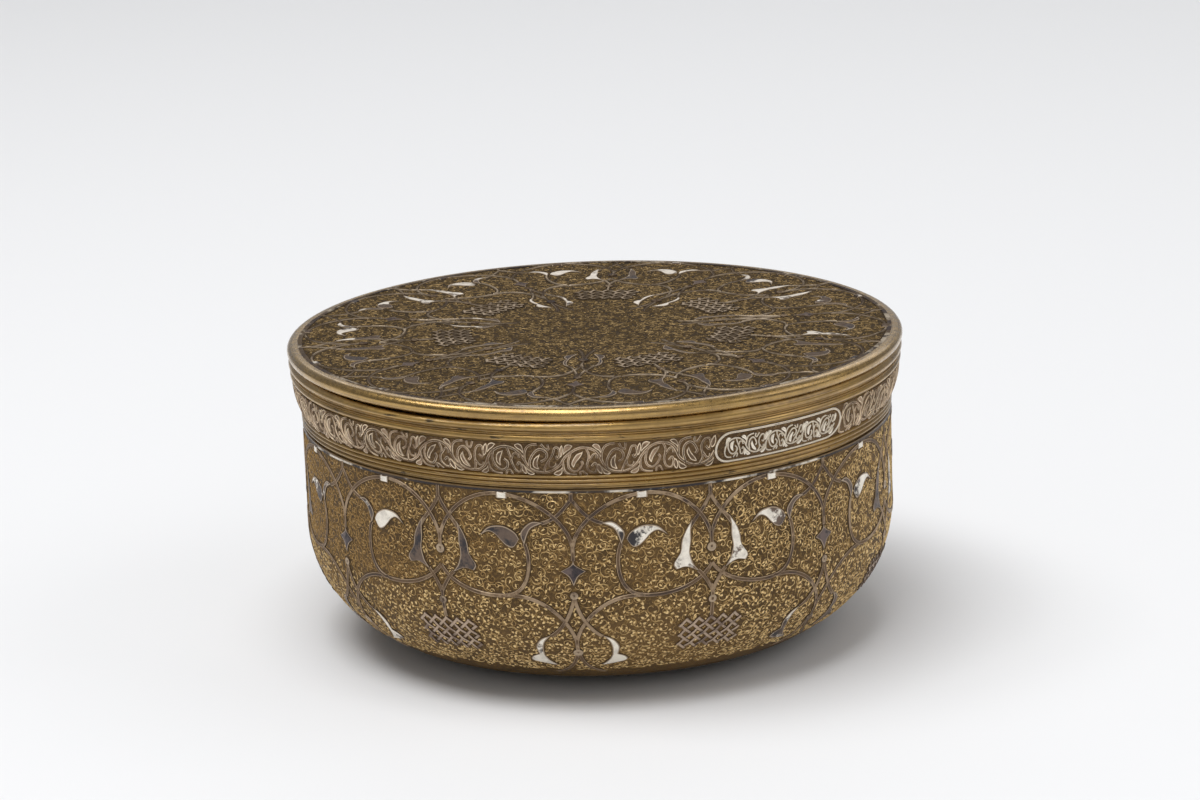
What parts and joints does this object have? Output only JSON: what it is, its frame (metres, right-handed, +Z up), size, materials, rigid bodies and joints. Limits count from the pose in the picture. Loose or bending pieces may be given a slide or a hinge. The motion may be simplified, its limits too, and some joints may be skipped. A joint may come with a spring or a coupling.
{
  "type": "lidded box",
  "caption": "Round brass box with a deep rounded bowl, a moulded collar and a flat lift-off lid, inlaid all over with silver straps, leaves and knots in a dark ground.",
  "frame": {"origin": "centre of the flat of the base, on the axis of turning", "axes": "+Z up along the axis, -Y towards the viewer of the picture, +X to the right"},
  "size_m": [0.155, 0.155, 0.0767],
  "materials": {
    "brass": "worn polish",
    "silver": "tarnished",
    "compound": "matte"
  },
  "bodies": {
    "bowl": {"bowl_shell": "brass", "collar_ring": "brass", "bowl_ground": "compound", "bowl_border_wire": "silver", "bowl_straps": "silver", "bowl_hook_leaves": "silver", "bowl_wing_leaves": "silver", "bowl_boot_leaves": "silver", "bowl_crescent_leaves": "silver", "bowl_lozenges": "silver", "bowl_knots": "silver", "bowl_beads": "silver", "bowl_tabs": "silver", "collar_ground": "compound", "collar_scroll": "silver", "cartouche_frames": "silver", "cartouche_scroll": "silver"},
    "lid": {"lid_plate": "brass", "lid_locating_ring": "brass", "lid_ground": "compound", "lid_border_wire": "silver", "lid_straps": "silver", "lid_hook_leaves": "silver", "lid_wing_leaves": "silver", "lid_boot_leaves": "silver", "lid_crescent_leaves": "silver", "lid_lozenges": "silver", "lid_knots": "silver", "lid_beads": "silver", "lid_tabs": "silver"}
  },
  "joints": [
    {"name": "lid_lift", "type": "slide", "parent": "bowl", "child": "lid", "axis": [0, 0, 1], "range_m": [0, 0.09]}
  ]
}
